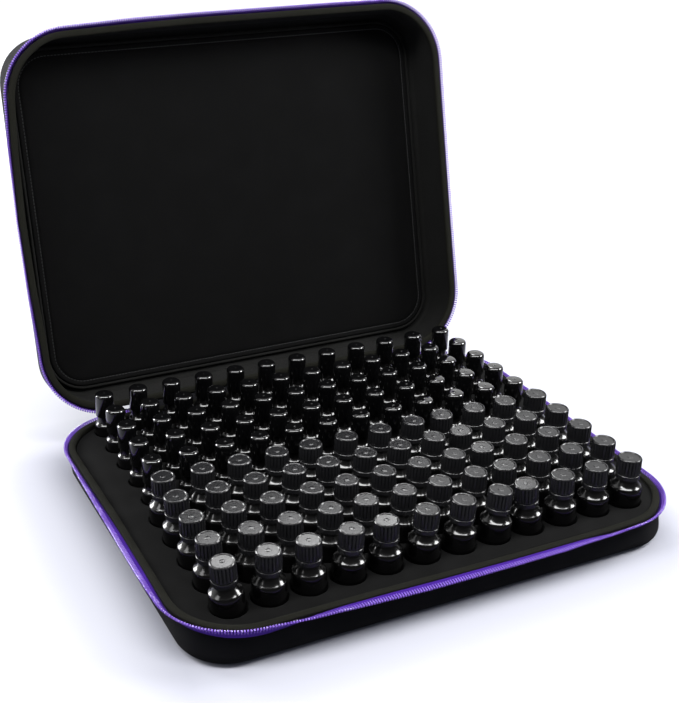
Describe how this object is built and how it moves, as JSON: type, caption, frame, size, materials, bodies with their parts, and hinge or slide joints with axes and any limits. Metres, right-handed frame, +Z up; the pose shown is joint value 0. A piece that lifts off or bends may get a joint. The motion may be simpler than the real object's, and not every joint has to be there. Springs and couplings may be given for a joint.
{
  "type": "essential oil storage box",
  "caption": "Zipped hard case with a foam insert full of dropper and roller bottles and a hinged lid with a padded panel.",
  "frame": {"origin": "middle of the underside of the base", "axes": "+X along a row of bottles, +Y from the front to the hinge, +Z up"},
  "size_m": [0.473, 0.5152, 0.4032],
  "materials": {
    "shell_fabric": "black nylon over moulded foam",
    "binding_cloth": "rolled grey-olive binding",
    "zip_cloth": "purple woven tape",
    "zip_coil": "pale lavender coil",
    "hinge_cloth": "black cloth strip",
    "foam": "charcoal closed-cell foam",
    "stiffener": "grey fibre board",
    "panel_cloth": "near-black woven cloth over thin padding",
    "panel_piping": "corded edge of the padded panel",
    "zip_metal": "black lacquered zinc",
    "stop_metal": "crimped stop",
    "dropper_glass": "opaque black glass, glossy",
    "dropper_cap": "black moulded ribs",
    "reducer": "milky insert",
    "roller_glass": "opaque black glass, glossy",
    "roller_cap": "black, polished",
    "housing": "milky ball housing",
    "ball_steel": "polished steel"
  },
  "bodies": {
    "base": {"base_shell": "shell_fabric", "base_binding": "binding_cloth", "base_zip_tape": "zip_cloth", "base_zip_coil": "zip_coil", "hinge_panel_base": "hinge_cloth", "foam_floor": "foam", "foam_insert": "foam", "zip_stop_left": "stop_metal", "zip_stop_right": "stop_metal"},
    "lid": {"lid_shell": "shell_fabric", "lid_binding": "binding_cloth", "lid_zip_tape": "zip_cloth", "lid_zip_coil": "zip_coil", "hinge_panel_lid": "hinge_cloth", "pad_board": "stiffener", "pad_cushion": "panel_cloth", "pad_piping": "panel_piping"},
    "slider_left_body": {"slider_left": "zip_metal"},
    "slider_right_body": {"slider_right": "zip_metal"},
    "pull_left_body": {"pull_left": "zip_metal"},
    "pull_right_body": {"pull_right": "zip_metal"},
    "sample_dropper": {"dropper_glass": "dropper_glass", "dropper_reducer": "reducer", "dropper_tamper_ring": "dropper_cap"},
    "sample_dropper_cap": {"dropper_cap": "dropper_cap"},
    "sample_roller": {"roller_glass": "roller_glass", "roller_housing": "housing"},
    "sample_roller_ball": {"roller_ball": "ball_steel"},
    "sample_roller_cap": {"roller_cap": "roller_cap"},
    "row_1": {"roller_glass_row_1": "roller_glass", "roller_caps_row_1": "roller_cap"},
    "row_2": {"roller_glass_row_2": "roller_glass", "roller_caps_row_2": "roller_cap"},
    "row_3": {"roller_glass_row_3": "roller_glass", "roller_caps_row_3": "roller_cap"},
    "row_4": {"roller_glass_row_4": "roller_glass", "roller_caps_row_4": "roller_cap"},
    "row_5": {"roller_glass_row_5": "roller_glass", "roller_caps_row_5": "roller_cap"},
    "row_6": {"dropper_glass_row_6": "dropper_glass", "dropper_caps_row_6": "dropper_cap"},
    "row_7": {"dropper_glass_row_7": "dropper_glass", "dropper_caps_row_7": "dropper_cap"},
    "row_8": {"dropper_glass_row_8": "dropper_glass", "dropper_caps_row_8": "dropper_cap"},
    "row_9": {"dropper_glass_row_9": "dropper_glass", "dropper_caps_row_9": "dropper_cap"},
    "row_10": {"dropper_glass_row_10": "dropper_glass", "dropper_caps_row_10": "dropper_cap"}
  },
  "joints": [
    {"name": "lid_hinge", "type": "hinge", "parent": "base", "child": "lid", "pos_m": [0, 0.188, 0.038], "axis": [-1, 0, 0], "range_deg": [-104, 45]},
    {"name": "row_1_lift", "type": "slide", "parent": "base", "child": "row_1", "axis": [0, 0, 1], "range_m": [0, 0.06]},
    {"name": "row_2_lift", "type": "slide", "parent": "base", "child": "row_2", "axis": [0, 0, 1], "range_m": [0, 0.06]},
    {"name": "row_3_lift", "type": "slide", "parent": "base", "child": "row_3", "axis": [0, 0, 1], "range_m": [0, 0.06]},
    {"name": "row_4_lift", "type": "slide", "parent": "base", "child": "row_4", "axis": [0, 0, 1], "range_m": [0, 0.06]},
    {"name": "row_5_lift", "type": "slide", "parent": "base", "child": "row_5", "axis": [0, 0, 1], "range_m": [0, 0.06]},
    {"name": "row_6_lift", "type": "slide", "parent": "base", "child": "row_6", "axis": [0, 0, 1], "range_m": [0, 0.06]},
    {"name": "row_7_lift", "type": "slide", "parent": "base", "child": "row_7", "axis": [0, 0, 1], "range_m": [0, 0.06]},
    {"name": "row_8_lift", "type": "slide", "parent": "base", "child": "row_8", "axis": [0, 0, 1], "range_m": [0, 0.06]},
    {"name": "row_9_lift", "type": "slide", "parent": "base", "child": "row_9", "axis": [0, 0, 1], "range_m": [0, 0.06]},
    {"name": "row_10_lift", "type": "slide", "parent": "base", "child": "row_10", "axis": [0, 0, 1], "range_m": [0, 0.06]},
    {"name": "dropper_lift", "type": "slide", "parent": "base", "child": "sample_dropper", "axis": [0, 0, 1], "range_m": [0, 0.06]},
    {"name": "dropper_cap_lift", "type": "slide", "parent": "sample_dropper", "child": "sample_dropper_cap", "axis": [-0.0906, 0, 0.9959], "range_m": [0, 0.025]},
    {"name": "roller_lift", "type": "slide", "parent": "base", "child": "sample_roller", "axis": [0, 0, 1], "range_m": [0, 0.06]},
    {"name": "roller_cap_lift", "type": "slide", "parent": "sample_roller", "child": "sample_roller_cap", "axis": [0, 0, 1], "range_m": [0, 0.025]},
    {"name": "roller_ball_spin", "type": "hinge", "parent": "sample_roller", "child": "sample_roller_ball", "pos_m": [-0.187, 0.159, 0.0587], "axis": [1, 0, 0], "continuous": true},
    {"name": "slider_left_slide", "type": "slide", "parent": "base", "child": "slider_left_body", "axis": [-1, 0, 0], "range_m": [0, 0.01]},
    {"name": "slider_right_slide", "type": "slide", "parent": "base", "child": "slider_right_body", "axis": [1, 0, 0], "range_m": [0, 0.01]},
    {"name": "pull_left_turn", "type": "hinge", "parent": "slider_left_body", "child": "pull_left_body", "pos_m": [-0.1491, 0.18998, 0.03534], "axis": [0, 0.5186, 0.855], "range_deg": [-180, 0]},
    {"name": "pull_right_turn", "type": "hinge", "parent": "slider_right_body", "child": "pull_right_body", "pos_m": [0.1491, 0.18998, 0.03534], "axis": [0, -0.5186, -0.855], "range_deg": [-180, 0]}
  ]
}
